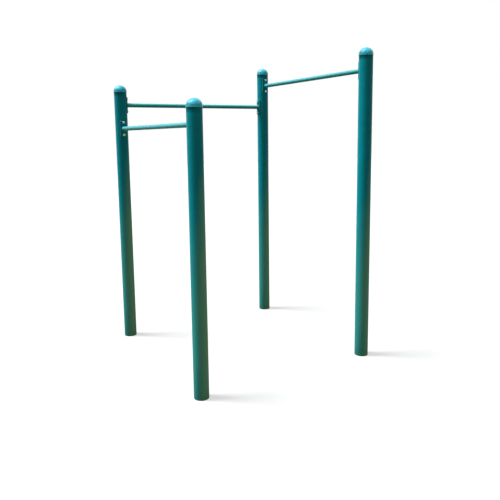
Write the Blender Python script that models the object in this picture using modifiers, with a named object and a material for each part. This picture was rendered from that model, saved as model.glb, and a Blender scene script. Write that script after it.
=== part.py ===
"""Outdoor pull-up station: four tube posts and three bars at rising heights.

Run it with: blender --background --python part.py

The posts stand at the corners of a square. The bars close three of its sides,
so that the front stays open, and each bar is one step higher than the last.
Every bar end is welded to a curved saddle plate that two button-head bolts
hold against its post, in threaded inserts set into the post's wall. A domed
cap with a spigot closes the top of each post.

Units are metres. +Z is up, the ground is z = 0, and the origin is the middle
of the square. +X runs along the back row of posts, -Y is the open front.
"""

import math

import bmesh
import bpy

# Driving dimensions of the station
BAY_WIDTH = 1.55               # between the axes of two neighbouring posts
LOW_BAR_HEIGHT = 1.98          # ground to the axis of the bar
MIDDLE_BAR_HEIGHT = 2.195
HIGH_BAR_HEIGHT = 2.41
FIT_GAP = 0.0003               # between two pieces that touch

# Post tube
POST_DIAMETER = 0.114
POST_WALL = 0.003

# Bar tube
BAR_DIAMETER = 0.038
BAR_WALL = 0.003

# Domed cap
CAP_LIP_THICKNESS = 0.0022     # of the lip that laps over the outside of the post
CAP_LIP_DROP = 0.0055
CAP_SHELL = 0.004              # thickness at the crown of the dome
CAP_EDGE = 0.0008              # chamfer on the lip and on the spigot
CAP_SPIGOT_LENGTH = 0.040
CAP_SPIGOT_WALL = 0.003
CAP_SPIGOT_CLEARANCE = 0.013   # between the spigot's end and the insert below it

# Saddle plate and the weld between it and its bar
SADDLE_THICKNESS = 0.006
SADDLE_WIDTH = 0.066           # straight across, as seen along the bar
SADDLE_END = 0.018             # from a bolt's axis to the end of the plate
SADDLE_CORNER = 0.014
WELD_RADIUS = 0.0045           # of the round bead
SEAT_RECESS = 0.0003           # depth of the bar's seat in the plate
WELD_COVER = 0.0005            # least thickness of plate behind the bead

# Bolts, washers and inserts
BOLT_SPACING = 0.112           # between the two bolts of a saddle
BOLT_DIAMETER = 0.012
BOLT_LENGTH = 0.025
BOLT_TIP = 0.0012              # chamfer at the end of the thread
HEAD_OVERHANG = 0.0045         # of the head past the shank
HEAD_HEIGHT = 0.0066
HEAD_EDGE = 0.0010             # straight edge under the dome of the head
SOCKET_ACROSS_FLATS = 0.008
SOCKET_DEPTH = 0.004
HOLE_CLEARANCE = 0.0005        # on the radius, round the bolt in plate and washer
WASHER_RIM = 0.0055            # from the hole to the edge of the washer
WASHER_THICKNESS = 0.0025
SPOT_FACE_MARGIN = 0.0005      # on the radius, round the washer
INSERT_WALL = 0.0047           # between the bolt's bore and the outside of the insert
INSERT_LENGTH = 0.014

# Facets of the round pieces
POST_STEPS = 32                # shared by the caps, whose lips follow the posts' facets
BAR_STEPS = 24
SADDLE_STEPS = 64
SPOT_STEPS = 16
FASTENER_STEPS = 12
CORNER_STEPS = 4
CAP_ARC_STEPS = 6
CAP_INSIDE_STEPS = 2
HEAD_ARC_STEPS = 2
HEX_SIDES = 6
WELD_POINTS = 16
WELD_RESOLUTION = 1
MERGE_DISTANCE = 0.00001
SHARP_ANGLE = math.radians(35)

# Sizes that follow from the ones above
POST_RADIUS = POST_DIAMETER / 2
POST_BORE = POST_RADIUS - POST_WALL
BAR_RADIUS = BAR_DIAMETER / 2
SADDLE_INNER = POST_RADIUS + FIT_GAP
SADDLE_OUTER = SADDLE_INNER + SADDLE_THICKNESS
SADDLE_HEIGHT = BOLT_SPACING + 2 * SADDLE_END
SEAT_RADIUS = SADDLE_OUTER - SEAT_RECESS
BAR_END = SEAT_RADIUS + FIT_GAP
BEAD_RADIUS = min(WELD_RADIUS, SADDLE_THICKNESS - WELD_COVER)
SHANK_RADIUS = BOLT_DIAMETER / 2
HEAD_RADIUS = SHANK_RADIUS + HEAD_OVERHANG
HOLE_RADIUS = SHANK_RADIUS + HOLE_CLEARANCE
WASHER_RADIUS = HOLE_RADIUS + WASHER_RIM
SPOT_RADIUS = WASHER_RADIUS + SPOT_FACE_MARGIN
SPOT_FACE = math.sqrt(SADDLE_OUTER ** 2 - SPOT_RADIUS ** 2)
WASHER_SEAT = SPOT_FACE + FIT_GAP
HEAD_SEAT = WASHER_SEAT + WASHER_THICKNESS + FIT_GAP
INSERT_BORE = SHANK_RADIUS + FIT_GAP
INSERT_RADIUS = INSERT_BORE + INSERT_WALL
INSERT_FACE = math.sqrt(SADDLE_INNER ** 2 - INSERT_RADIUS ** 2) - FIT_GAP
POST_ABOVE_BAR = BOLT_SPACING / 2 + INSERT_RADIUS + CAP_SPIGOT_CLEARANCE + CAP_SPIGOT_LENGTH
OVERSHOOT = 0.020              # how far a cutter runs past what it cuts

# Corner of the square for each post, and the two posts and height of each bar
CORNERS = {
    "rear_left": (-1, 1),
    "rear_right": (1, 1),
    "front_left": (-1, -1),
    "front_right": (1, -1),
}
BARS = {
    "low": (LOW_BAR_HEIGHT, "rear_left", "front_left"),
    "middle": (MIDDLE_BAR_HEIGHT, "rear_left", "rear_right"),
    "high": (HIGH_BAR_HEIGHT, "rear_right", "front_right"),
}


def clear_scene():
    """Remove whatever the file opened with."""
    for obj in list(bpy.data.objects):
        bpy.data.objects.remove(obj, do_unlink=True)


def new_collection(name):
    """Make a collection in the scene."""
    collection = bpy.data.collections.new(name)
    bpy.context.scene.collection.children.link(collection)
    return collection


def make_material(name, colour, roughness, metallic):
    """Make a Principled BSDF material."""
    material = bpy.data.materials.new(name)
    material.use_nodes = True
    shader = material.node_tree.nodes["Principled BSDF"]
    shader.inputs["Base Color"].default_value = (*colour, 1.0)
    shader.inputs["Roughness"].default_value = roughness
    shader.inputs["Metallic"].default_value = metallic
    return material


def add_object(name, data, collection, parent=None):
    """Put a mesh, a curve or an empty in a collection."""
    obj = bpy.data.objects.new(name, data)
    collection.objects.link(obj)
    obj.parent = parent
    return obj


def add_cutter(name, mesh, parent=None):
    """Add a solid that only cuts other solids."""
    cutter = add_object(name, mesh, CUTTERS, parent)
    cutter.hide_render = True
    cutter.display_type = "WIRE"
    return cutter


def mesh_of(obj):
    """Apply an object's modifiers and placement to a plain mesh, and remove the object."""
    bpy.context.view_layer.update()
    evaluated = obj.evaluated_get(bpy.context.evaluated_depsgraph_get())
    mesh = bpy.data.meshes.new_from_object(evaluated)
    mesh.transform(evaluated.matrix_world)
    name = obj.name
    bpy.data.objects.remove(obj, do_unlink=True)
    bm = bmesh.new()
    bm.from_mesh(mesh)
    bmesh.ops.remove_doubles(bm, verts=bm.verts, dist=MERGE_DISTANCE)
    bm.to_mesh(mesh)
    bm.free()
    mesh.name = name
    mesh.shade_smooth()
    mesh.set_sharp_from_angle(angle=SHARP_ANGLE)
    return mesh


def turned(name, profile, steps, closed=False, along_x=False):
    """Turn a profile of (radius, height) points about Z, or about X if asked."""
    points = [(radius, 0.0, height) for radius, height in profile]
    edges = [(i, i + 1) for i in range(len(points) - 1)]
    if closed:
        edges.append((len(points) - 1, 0))
    mesh = bpy.data.meshes.new(name)
    mesh.from_pydata(points, edges, [])
    obj = add_object(name, mesh, CUTTERS)
    screw = obj.modifiers.new("Turn", "SCREW")
    screw.steps = steps
    screw.render_steps = steps
    screw.use_merge_vertices = True
    screw.merge_threshold = MERGE_DISTANCE
    if along_x:
        obj.rotation_euler = (0, math.pi / 2, 0)
    return mesh_of(obj)


def tube_profile(outer, inner, low, high):
    """The closed wall section of a tube."""
    return [(outer, high), (outer, low), (inner, low), (inner, high)]


def rod_profile(radius, low, high):
    """The section of a solid rod, from axis to axis."""
    return [(0, high), (radius, high), (radius, low), (0, low)]


def arc(centre, radii, start, end, steps):
    """Points on an elliptic arc about a centre, both ends included."""
    angles = [math.radians(start + (end - start) * i / steps) for i in range(steps + 1)]
    return [(centre[0] + radii[0] * math.cos(a), centre[1] + radii[1] * math.sin(a)) for a in angles]


def rounded_plate(name, width, height, corner, reach):
    """A rounded rectangle across Y and Z, as a block from the axis out to reach along X."""
    outline = []
    for quarter, (side, up) in enumerate(((1, 1), (-1, 1), (-1, -1), (1, -1))):
        centre = (side * (width / 2 - corner), up * (height / 2 - corner))
        outline += arc(centre, (corner, corner), 90 * quarter, 90 * quarter + 90, CORNER_STEPS)
    curve = bpy.data.curves.new(name, "CURVE")
    curve.dimensions = "2D"
    curve.fill_mode = "BOTH"
    curve.extrude = reach / 2
    spline = curve.splines.new("POLY")
    spline.points.add(len(outline) - 1)
    spline.use_cyclic_u = True
    for point, (across, up) in zip(spline.points, outline):
        point.co = (across, up, 0, 1)
    obj = add_object(name, curve, CUTTERS)
    obj.rotation_euler = (math.pi / 2, 0, math.pi / 2)
    obj.location = (reach / 2, 0, 0)
    return mesh_of(obj)


def weld_bead(name):
    """A round bead along the line where the bar meets the curved face of the plate."""
    curve = bpy.data.curves.new(name, "CURVE")
    curve.dimensions = "3D"
    curve.bevel_depth = BEAD_RADIUS
    curve.bevel_resolution = WELD_RESOLUTION
    spline = curve.splines.new("POLY")
    spline.points.add(WELD_POINTS - 1)
    spline.use_cyclic_u = True
    for i, point in enumerate(spline.points):
        turn = 2 * math.pi * i / WELD_POINTS
        across = BAR_RADIUS * math.cos(turn)
        out = math.sqrt(SADDLE_OUTER ** 2 - across ** 2)
        point.co = (out, across, BAR_RADIUS * math.sin(turn), 1)
    return mesh_of(add_object(name, curve, CUTTERS))


def boolean(obj, operation, cutter):
    """Add an exact Boolean to an object."""
    modifier = obj.modifiers.new(cutter.name, "BOOLEAN")
    modifier.operation = operation
    modifier.solver = "EXACT"
    modifier.object = cutter


def cut_mesh(name, base, steps):
    """Work a base mesh with a list of (operation, mesh) steps, and return the result."""
    obj = add_object(name, base, CUTTERS)
    tools = []
    for operation, mesh in steps:
        tool = add_cutter(name + "_tool", mesh)
        boolean(obj, operation, tool)
        tools.append(tool)
    result = mesh_of(obj)
    for tool in tools:
        bpy.data.objects.remove(tool, do_unlink=True)
    return result


def moved(mesh, height):
    """A copy of a mesh, moved up."""
    copy = mesh.copy()
    for vertex in copy.vertices:
        vertex.co.z += height
    return copy


def saddle_mesh():
    """The curved plate with its weld bead, bar seat, bolt holes and spot faces."""
    half = SADDLE_HEIGHT / 2 + OVERSHOOT
    sleeve = turned("sleeve", tube_profile(SADDLE_OUTER, SADDLE_INNER, -half, half), SADDLE_STEPS, closed=True)
    blank = rounded_plate("blank", SADDLE_WIDTH, SADDLE_HEIGHT, SADDLE_CORNER, SADDLE_OUTER + OVERSHOOT)
    seat_rod = turned("seat_rod", rod_profile(BAR_RADIUS + FIT_GAP, 0, SADDLE_OUTER + OVERSHOOT),
                      BAR_STEPS, along_x=True)
    cope = turned("cope", rod_profile(SEAT_RADIUS, -half, half), SADDLE_STEPS)
    seat = cut_mesh("bar_seat", seat_rod, [("DIFFERENCE", cope)])
    hole = turned("bolt_hole", rod_profile(HOLE_RADIUS, 0, SADDLE_OUTER + OVERSHOOT),
                  FASTENER_STEPS, along_x=True)
    spot = turned("spot_face", rod_profile(SPOT_RADIUS, SPOT_FACE, SADDLE_OUTER + OVERSHOOT),
                  SPOT_STEPS, along_x=True)
    steps = [("INTERSECT", blank), ("UNION", weld_bead("weld")), ("DIFFERENCE", seat)]
    for height in (BOLT_SPACING / 2, -BOLT_SPACING / 2):
        steps.append(("DIFFERENCE", moved(hole, height)))
        steps.append(("DIFFERENCE", moved(spot, height)))
    return cut_mesh("saddle", sleeve, steps)


def bolt_mesh():
    """A button-head bolt along X with its head's underside at HEAD_SEAT."""
    dome = arc((0, HEAD_EDGE), (HEAD_RADIUS, HEAD_HEIGHT - HEAD_EDGE), 90, 0, HEAD_ARC_STEPS)
    profile = dome + [
        (HEAD_RADIUS, 0),
        (SHANK_RADIUS, 0),
        (SHANK_RADIUS, BOLT_TIP - BOLT_LENGTH),
        (SHANK_RADIUS - BOLT_TIP, -BOLT_LENGTH),
        (0, -BOLT_LENGTH),
    ]
    body = turned("bolt_body", [(r, h + HEAD_SEAT) for r, h in profile], FASTENER_STEPS, along_x=True)
    corner = SOCKET_ACROSS_FLATS / 2 / math.cos(math.pi / HEX_SIDES)
    floor = HEAD_SEAT + HEAD_HEIGHT - SOCKET_DEPTH
    socket = turned("socket", rod_profile(corner, floor, floor + OVERSHOOT), HEX_SIDES, along_x=True)
    return cut_mesh("bolt", body, [("DIFFERENCE", socket)])


def washer_mesh():
    """A flat washer on the spot face."""
    section = tube_profile(WASHER_RADIUS, HOLE_RADIUS, WASHER_SEAT, WASHER_SEAT + WASHER_THICKNESS)
    return turned("washer", section, FASTENER_STEPS, closed=True, along_x=True)


def insert_mesh():
    """A threaded insert through the wall of the post, just below the saddle."""
    section = tube_profile(INSERT_RADIUS, INSERT_BORE, INSERT_FACE - INSERT_LENGTH, INSERT_FACE)
    return turned("insert", section, FASTENER_STEPS, closed=True, along_x=True)


def cap_mesh():
    """A domed cap whose spigot fits in the post's bore, with the post's top at z = 0."""
    lip_inner = POST_RADIUS + FIT_GAP
    cap_radius = lip_inner + CAP_LIP_THICKNESS
    spigot = POST_BORE - FIT_GAP
    hollow = spigot - CAP_SPIGOT_WALL
    profile = arc((0, FIT_GAP), (cap_radius, cap_radius), 90, 0, CAP_ARC_STEPS)
    profile += [
        (cap_radius, CAP_EDGE - CAP_LIP_DROP),
        (cap_radius - CAP_EDGE, -CAP_LIP_DROP),
        (lip_inner, -CAP_LIP_DROP),
        (lip_inner, FIT_GAP),
        (spigot, FIT_GAP),
        (spigot, CAP_EDGE - CAP_SPIGOT_LENGTH),
        (spigot - CAP_EDGE, -CAP_SPIGOT_LENGTH),
        (hollow, -CAP_SPIGOT_LENGTH),
    ]
    profile += arc((0, FIT_GAP), (hollow, cap_radius - CAP_SHELL), 0, 90, CAP_INSIDE_STEPS)
    return turned("cap", profile, POST_STEPS)


def post_top(post):
    """Height of a post's top, above the highest bar that it carries."""
    return max(height for height, *ends in BARS.values() if post in ends) + POST_ABOVE_BAR


def post_place(post):
    """Position of a post's foot on the ground."""
    side, depth = CORNERS[post]
    return (side * BAY_WIDTH / 2, depth * BAY_WIDTH / 2, 0)


def add_joint_frame(bar, post, other, height):
    """An empty on the post's axis at the bar's height, with +X along the bar."""
    here = post_place(post)
    there = post_place(other)
    frame = add_object("joint_" + bar + "_" + post, None, STATION)
    frame.location = (here[0], here[1], height)
    frame.rotation_euler = (0, 0, math.atan2(there[1] - here[1], there[0] - here[0]))
    frame.empty_display_size = POST_DIAMETER
    return frame


def add_piece(name, mesh, material, parent=None, location=(0, 0, 0)):
    """Add one piece of the station."""
    piece = add_object(name, mesh, STATION, parent)
    piece.location = location
    if not mesh.materials:
        mesh.materials.append(material)
    return piece


def add_posts():
    """The four tubes, each turned so that a flat facet faces each bar, with a cap on top."""
    posts = {}
    cap = cap_mesh()
    for post in CORNERS:
        top = post_top(post)
        tube = turned("post_" + post, tube_profile(POST_RADIUS, POST_BORE, 0, top), POST_STEPS, closed=True)
        posts[post] = add_piece("post_" + post, tube, POST_PAINT, location=post_place(post))
        posts[post].rotation_euler = (0, 0, math.pi / POST_STEPS)
        add_piece("cap_" + post, cap, CAP_PLASTIC, parent=posts[post], location=(0, 0, top))
    return posts


def add_bars(posts):
    """The three bars, with the saddle, bolts, washers and inserts at each end."""
    saddle = saddle_mesh()
    bolt = bolt_mesh()
    washer = washer_mesh()
    insert = insert_mesh()
    insert_hole = turned("insert_hole", rod_profile(INSERT_RADIUS + FIT_GAP, 0, POST_RADIUS + OVERSHOOT),
                         FASTENER_STEPS, along_x=True)
    cope = turned("bar_cope", rod_profile(BAR_END, -BAR_DIAMETER, BAR_DIAMETER), SADDLE_STEPS)
    for bar, (height, start, end) in BARS.items():
        frames = {start: add_joint_frame(bar, start, end, height), end: add_joint_frame(bar, end, start, height)}
        tube = turned("bar_" + bar, tube_profile(BAR_RADIUS, BAR_RADIUS - BAR_WALL, 0, BAY_WIDTH),
                      BAR_STEPS, closed=True, along_x=True)
        rail = add_piece("bar_" + bar, tube, BAR_PAINT, parent=frames[start])
        for post, frame in frames.items():
            end_name = bar + "_" + post
            boolean(rail, "DIFFERENCE", add_cutter("cope_" + end_name, cope, frame))
            add_piece("saddle_" + end_name, saddle, SADDLE_PAINT, frame)
            for place, side in (("upper", 1), ("lower", -1)):
                at = (0, 0, side * BOLT_SPACING / 2)
                bolt_name = end_name + "_" + place
                hole = add_cutter("hole_" + bolt_name, insert_hole, frame)
                hole.location = at
                boolean(posts[post], "DIFFERENCE", hole)
                add_piece("bolt_" + bolt_name, bolt, BOLT_STEEL, frame, at)
                add_piece("washer_" + bolt_name, washer, WASHER_STEEL, frame, at)
                add_piece("insert_" + bolt_name, insert, INSERT_STEEL, frame, at)


clear_scene()
STATION = new_collection("outdoor_pull_up_station")
CUTTERS = new_collection("cutters")

# Colours are linear
POST_PAINT = make_material("post_paint", (0.006, 0.150, 0.165), 0.28, 0.0)
BAR_PAINT = make_material("bar_paint", (0.012, 0.200, 0.215), 0.30, 0.0)
SADDLE_PAINT = make_material("saddle_paint", (0.006, 0.140, 0.155), 0.32, 0.0)
CAP_PLASTIC = make_material("cap_plastic", (0.008, 0.210, 0.260), 0.18, 0.0)
BOLT_STEEL = make_material("bolt_steel", (0.42, 0.46, 0.47), 0.32, 1.0)
WASHER_STEEL = make_material("washer_steel", (0.40, 0.44, 0.45), 0.38, 1.0)
INSERT_STEEL = make_material("insert_steel", (0.45, 0.44, 0.40), 0.45, 1.0)

add_bars(add_posts())
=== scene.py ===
# %% [markdown]
# # The looks of an outdoor pull-up station
# Four steel posts stand at the corners of a square, and three bars close three of its
# sides at rising heights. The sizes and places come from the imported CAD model, which
# stays as it is. This lesson builds a finer piece over each part of it, gives every
# piece a weathered finish, and lights the station on a pale floor.

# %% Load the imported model
import math

import bmesh
import bpy
from mathutils import Matrix, Vector


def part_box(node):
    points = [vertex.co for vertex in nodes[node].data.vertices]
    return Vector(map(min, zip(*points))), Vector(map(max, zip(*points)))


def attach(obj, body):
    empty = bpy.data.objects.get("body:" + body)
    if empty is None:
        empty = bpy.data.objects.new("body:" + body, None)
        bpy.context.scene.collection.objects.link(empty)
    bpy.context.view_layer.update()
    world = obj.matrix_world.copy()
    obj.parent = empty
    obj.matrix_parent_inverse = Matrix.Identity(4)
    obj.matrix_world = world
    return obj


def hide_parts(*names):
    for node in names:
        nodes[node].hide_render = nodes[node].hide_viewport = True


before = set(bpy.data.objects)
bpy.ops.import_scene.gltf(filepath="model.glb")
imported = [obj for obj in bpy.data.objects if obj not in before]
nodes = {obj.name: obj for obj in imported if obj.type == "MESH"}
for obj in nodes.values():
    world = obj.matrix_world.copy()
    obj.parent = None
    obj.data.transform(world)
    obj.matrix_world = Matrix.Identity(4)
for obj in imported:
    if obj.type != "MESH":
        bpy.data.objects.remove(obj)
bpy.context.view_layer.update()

# %% [markdown]
# ## The camera
# A photograph is a pinhole picture, so its camera can be found from the straight lines
# of the object: plumb posts and level bars. That fit gave the place, the three turns,
# the lens and a small shift of the picture. The turns could be set as Euler angles. Here
# the three axes of the camera are written out instead, because then each turn can be
# read by itself.

# %% Set the camera where the photographer stood
PICTURE = 500                  # pixels across the square picture
CENTRE = (235, 215)            # pixel that the lens points at
FOCAL_PIXELS = 554
SENSOR = 36                    # millimetres
TURN, TILT, ROLL = (math.radians(angle) for angle in (29.72, 8.08, -0.92))
CAMERA_PLACE = (-2.449, -4.245, 1.895)

forward = Vector((
    math.sin(TURN) * math.cos(TILT),
    math.cos(TURN) * math.cos(TILT),
    -math.sin(TILT),
))
level = Vector((math.cos(TURN), -math.sin(TURN), 0))
upward = level.cross(forward)
camera_x = level * math.cos(ROLL) + upward * math.sin(ROLL)
camera_y = upward * math.cos(ROLL) - level * math.sin(ROLL)


def into_scene(name, data):
    """Make an object of some data and link it to the scene."""
    made = bpy.data.objects.new(name, data)
    bpy.context.scene.collection.objects.link(made)
    return made


lens = bpy.data.cameras.new("photo_camera")
lens.sensor_width = SENSOR
lens.lens = FOCAL_PIXELS / PICTURE * SENSOR
lens.shift_x = (PICTURE / 2 - CENTRE[0]) / PICTURE
lens.shift_y = (CENTRE[1] - PICTURE / 2) / PICTURE
camera = into_scene("photo_camera", lens)
turned_axes = Matrix((camera_x, camera_y, -forward)).transposed().to_4x4()
camera.matrix_world = Matrix.Translation(CAMERA_PLACE) @ turned_axes
bpy.context.scene.camera = camera
print("lens:", round(lens.lens, 2), "mm, shift:", round(lens.shift_x, 3), round(lens.shift_y, 3))

# %% [markdown]
# ## Shader sums as Python
# A finish is a sum of masks and colours. It could be wired by hand in the node editor,
# but a written sum is easier to read and to change. The class below wraps one socket.
# Its operators add Math nodes, and its method `node` adds any other node.

# %% A socket that can stand in a sum
class Wire:
    """One socket of a node tree, which can stand in a sum."""

    def __init__(self, tree, socket=None):
        self.tree = tree
        self.socket = socket

    def node(self, kind, settings=None, sockets=None, output=0):
        """Add a node: its settings first, then its sockets. One of its outputs comes back."""
        made = self.tree.nodes.new("ShaderNode" + kind)
        for name, value in (settings or {}).items():
            if name == "stops":
                set_stops(made.color_ramp.elements, value)
            else:
                setattr(made, name, value)
        for name, value in (sockets or {}).items():
            if isinstance(value, Wire):
                self.tree.links.new(value.socket, made.inputs[name])
            else:
                made.inputs[name].default_value = value
        return Wire(self.tree, made.outputs[output] if made.outputs else None)

    def work(self, operation, first, second, clamp=False):
        settings = {"operation": operation, "use_clamp": clamp}
        return self.node("Math", settings, {0: first, 1: second})

    def __add__(self, other):
        return self.work("ADD", self, other)

    def __radd__(self, other):
        return self.work("ADD", other, self)

    def __sub__(self, other):
        return self.work("SUBTRACT", self, other)

    def __rsub__(self, other):
        return self.work("SUBTRACT", other, self)

    def __mul__(self, other):
        return self.work("MULTIPLY", self, other)

    def __rmul__(self, other):
        return self.work("MULTIPLY", other, self)

    def __truediv__(self, other):
        return self.work("DIVIDE", self, other)

    def __pow__(self, other):
        return self.work("POWER", self, other)

    def clipped(self):
        """The value held between 0 and 1."""
        return self.work("ADD", self, 0.0, clamp=True)


def set_stops(elements, stops):
    """Give a colour ramp its stops, a list of (place, grey level)."""
    while len(elements) < len(stops):
        elements.new(0.5)
    for element, (place, grey) in zip(elements, stops):
        element.position = place
        element.color = (grey, grey, grey, 1)


def linear(red, green, blue):
    """A colour picked on a screen, from 0 to 255, as the shader's own numbers."""
    parts = [value / 255 for value in (red, green, blue)]
    return (*(p / 12.92 if p <= 0.04045 else ((p + 0.055) / 1.055) ** 2.4 for p in parts), 1.0)


print("mid teal in the shader's numbers:", [round(v, 3) for v in linear(0, 128, 140)])

# %% [markdown]
# ## The floor, the sky and the lamps
# The object stands on plain pale ground under a bright sky. A camera ray meets white, and
# so does a reflected one, so that gloss shows the same surroundings. A single sun could
# light the object, but then its shadows would be hard and its far side black. So the sun
# is two lamps on one side: a wide one from the upper left, and a narrower one above it,
# which sets the highlights of the caps and the tops of the bars. A weak lamp from the
# right and a grey sky fill the dark sides. The floor keeps part of its real shading, so
# that the posts still throw a soft shadow.

# %% Sky and lamps
SKY_LIGHT = 0.11               # of the sky on the object; white is 1
SUN_AZIMUTH = 146              # degrees round from +X, seen from above
LAMPS = {                      # strength, spread, azimuth and height in degrees, colour
    "wide_sun": (3.0, 28, SUN_AZIMUTH, 50, (0.96, 0.98, 1)),
    "high_sun": (2.2, 10, SUN_AZIMUTH, 73, (0.96, 0.98, 1)),
    "soft_fill": (0.44, 100, -55, 60, (0.96, 1, 0.98)),
}


def seen_directly(wire):
    """1 for camera, glossy and transmission rays, and 0 for the light on the object."""
    camera_ray = wire.node("LightPath", output="Is Camera Ray")
    glossy_ray = wire.node("LightPath", output="Is Glossy Ray")
    through_ray = wire.node("LightPath", output="Is Transmission Ray")
    return (camera_ray + glossy_ray + through_ray).clipped()


sky = bpy.data.worlds.new("bright_sky")
sky.use_nodes = True
sky.node_tree.nodes.clear()
wire = Wire(sky.node_tree)
white_sky = wire.node("Background", sockets={"Color": (1, 1, 1, 1), "Strength": 1.0})
soft_sky = wire.node("Background", sockets={"Color": (0.95, 1, 0.9, 1), "Strength": SKY_LIGHT})
mixed_sky = wire.node("MixShader", sockets={0: seen_directly(wire), 1: soft_sky, 2: white_sky})
wire.node("OutputWorld", sockets={"Surface": mixed_sky})
bpy.context.scene.world = sky

level_light = SKY_LIGHT
for lamp_name, (strength, spread, azimuth, height, tint) in LAMPS.items():
    lamp_data = bpy.data.lights.new(lamp_name, "SUN")
    lamp_data.energy = strength
    lamp_data.angle = math.radians(spread)
    lamp_data.color = tint
    lamp = into_scene(lamp_name, lamp_data)
    lamp.rotation_euler = (math.radians(90 - height), 0, math.radians(azimuth + 90))
    level_light += strength * math.sin(math.radians(height)) / math.pi
print("light on level ground:", round(level_light, 2), "of white")

# %% Pale ground
GROUND_SIZE = 60
GROUND_DROP = 0.0005           # keeps the ground just clear of the feet
EVEN_SHARE = 0.62              # of the seen ground is even white, and the rest shows shadow
ground_mesh = bpy.data.meshes.new("pale_ground")
shaped = bmesh.new()
bmesh.ops.create_grid(shaped, x_segments=4, y_segments=4, size=GROUND_SIZE / 2)
bmesh.ops.translate(shaped, verts=shaped.verts, vec=(0, 0, -GROUND_DROP))
shaped.to_mesh(ground_mesh)
shaped.free()
ground = into_scene("pale_ground", ground_mesh)

ground_look = bpy.data.materials.new("pale_ground")
ground_look.use_nodes = True
ground_look.node_tree.nodes.clear()
wire = Wire(ground_look.node_tree)
packed_earth = wire.node("BsdfDiffuse", sockets={"Color": (0.12, 0.13, 0.095, 1)})
lit_white = wire.node("BsdfDiffuse", sockets={"Color": (0.85, 0.85, 0.85, 1)})
even_white = wire.node("Emission", sockets={"Color": (1, 1, 1, 1), "Strength": 1.0})
seen_ground = wire.node("MixShader", sockets={0: EVEN_SHARE, 1: lit_white, 2: even_white})
both_grounds = {0: seen_directly(wire), 1: packed_earth, 2: seen_ground}
mixed_ground = wire.node("MixShader", sockets=both_grounds)
wire.node("OutputMaterial", sockets={"Surface": mixed_ground})
ground_mesh.materials.append(ground_look)
bpy.context.scene.view_settings.view_transform = "Standard"
print("ground:", GROUND_SIZE, "m square")

# %% [markdown]
# ## Measures that the pieces share
# The CAD parts are faceted, and they say where everything is. These few lengths say what
# their boxes don't: the radii of the tubes and of the curved plates. Everything else is
# read from the boxes of the nodes.

# %% Shared lengths, in metres
POST_RADIUS = 0.057
POST_BORE = 0.054
CAP_RADIUS = 0.0592
CAP_HEIGHT = 0.0595
BAR_RADIUS = 0.019
BAR_BORE = 0.016
PLATE_INNER = 0.0573
PLATE_OUTER = 0.0633
HOLE_RADIUS = 0.0065
SPOT_RADIUS = 0.0125
SPOT_FACE = math.sqrt(PLATE_OUTER ** 2 - SPOT_RADIUS ** 2)
INSERT_HOLE = 0.0113
TINY = 0.00001
ROUND = 96                     # facets round a tube
SMALL_ROUND = 48               # facets round a bolt or washer
POSTS = ("rear_left", "rear_right", "front_left", "front_right")
BARS = {
    "low": ("rear_left", "front_left"),
    "middle": ("rear_left", "rear_right"),
    "high": ("rear_right", "front_right"),
}


def centre_of(node):
    """Middle of a CAD node's box."""
    low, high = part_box(node)
    return (low + high) / 2


def joint_place(bar, post, other):
    """The frame of a joint: on the post's axis at the bar's height, with +X along the bar."""
    here, there = centre_of("post_" + post), centre_of("post_" + other)
    origin = Vector((here.x, here.y, centre_of("bar_" + bar).z))
    turn = math.atan2(there.y - here.y, there.x - here.x)
    return Matrix.Translation(origin) @ Matrix.Rotation(turn, 4, "Z")


joints = {}
for bar, (start, end) in BARS.items():
    joints[bar, start] = joint_place(bar, start, end)
    joints[bar, end] = joint_place(bar, end, start)
span = (centre_of("post_rear_left") - centre_of("post_rear_right")).xy.length
bolt_rise = centre_of("bolt_low_rear_left_upper").z - centre_of("bar_low").z
print("joints:", len(joints), "bay:", round(span, 4))
print("bolts above and below the bar by", round(bolt_rise, 4))

# %% [markdown]
# ## Skins from rings
# Posts, caps, bars, plates, welds and bolts are all rings of points with faces between
# them. A Screw modifier would turn a section too, but it can't follow the curved cut at
# the end of a bar. Rings written in Python can, so one helper makes every piece.

# %% Helpers that make a mesh
def skin(rings, closed=False, lids=()):
    """Join rings of points with faces. A ring may be one point. Lids fill the end rings."""
    made = bmesh.new()
    corners = [[made.verts.new(point) for point in ring] for ring in rings]
    pairs = list(zip(corners, corners[1:]))
    if closed:
        pairs.append((corners[-1], corners[0]))
    for low, high in pairs:
        count = max(len(low), len(high))
        for i in range(count):
            j = (i + 1) % count
            below = (low[i % len(low)], low[j % len(low)])
            above = (high[j % len(high)], high[i % len(high)])
            made.faces.new(dict.fromkeys(below + above))
    for lid in lids:
        for ring in (corners[0], corners[-1]):
            made.faces.new([ring[i] for i in lid])
    bmesh.ops.recalc_face_normals(made, faces=made.faces)
    return made


def circle(radius, height, steps):
    """A ring of points about Z, or one point on the axis."""
    if radius < TINY:
        return [(0, 0, height)]
    angles = [2 * math.pi * i / steps for i in range(steps)]
    return [(radius * math.cos(a), radius * math.sin(a), height) for a in angles]


def turned(profile, steps, closed=False):
    """Turn (radius, height) points about Z."""
    return skin([circle(radius, height, steps) for radius, height in profile], closed)


def arc(centre, radii, start, end, steps):
    """Points on an elliptic arc, both ends included, with angles in degrees."""
    angles = [math.radians(start + (end - start) * i / steps) for i in range(steps + 1)]
    return [(centre[0] + radii[0] * math.cos(a), centre[1] + radii[1] * math.sin(a))
            for a in angles]


def rounding(reach, height, soft, start, end, steps=3):
    """A rounded edge that reaches out to a radius, with its centre at a height."""
    return arc((reach - soft, height), (soft, soft), start, end, steps)


sample = turned(arc((0, 0), (1, 1), -90, 90, 8), 16)
print("a turned ball has", len(sample.faces), "faces")
sample.free()

# %% Helpers that place, show and cut a mesh
SMOOTH_BELOW = math.radians(32)
TO_X = Matrix.Rotation(math.pi / 2, 4, "Y")


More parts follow.
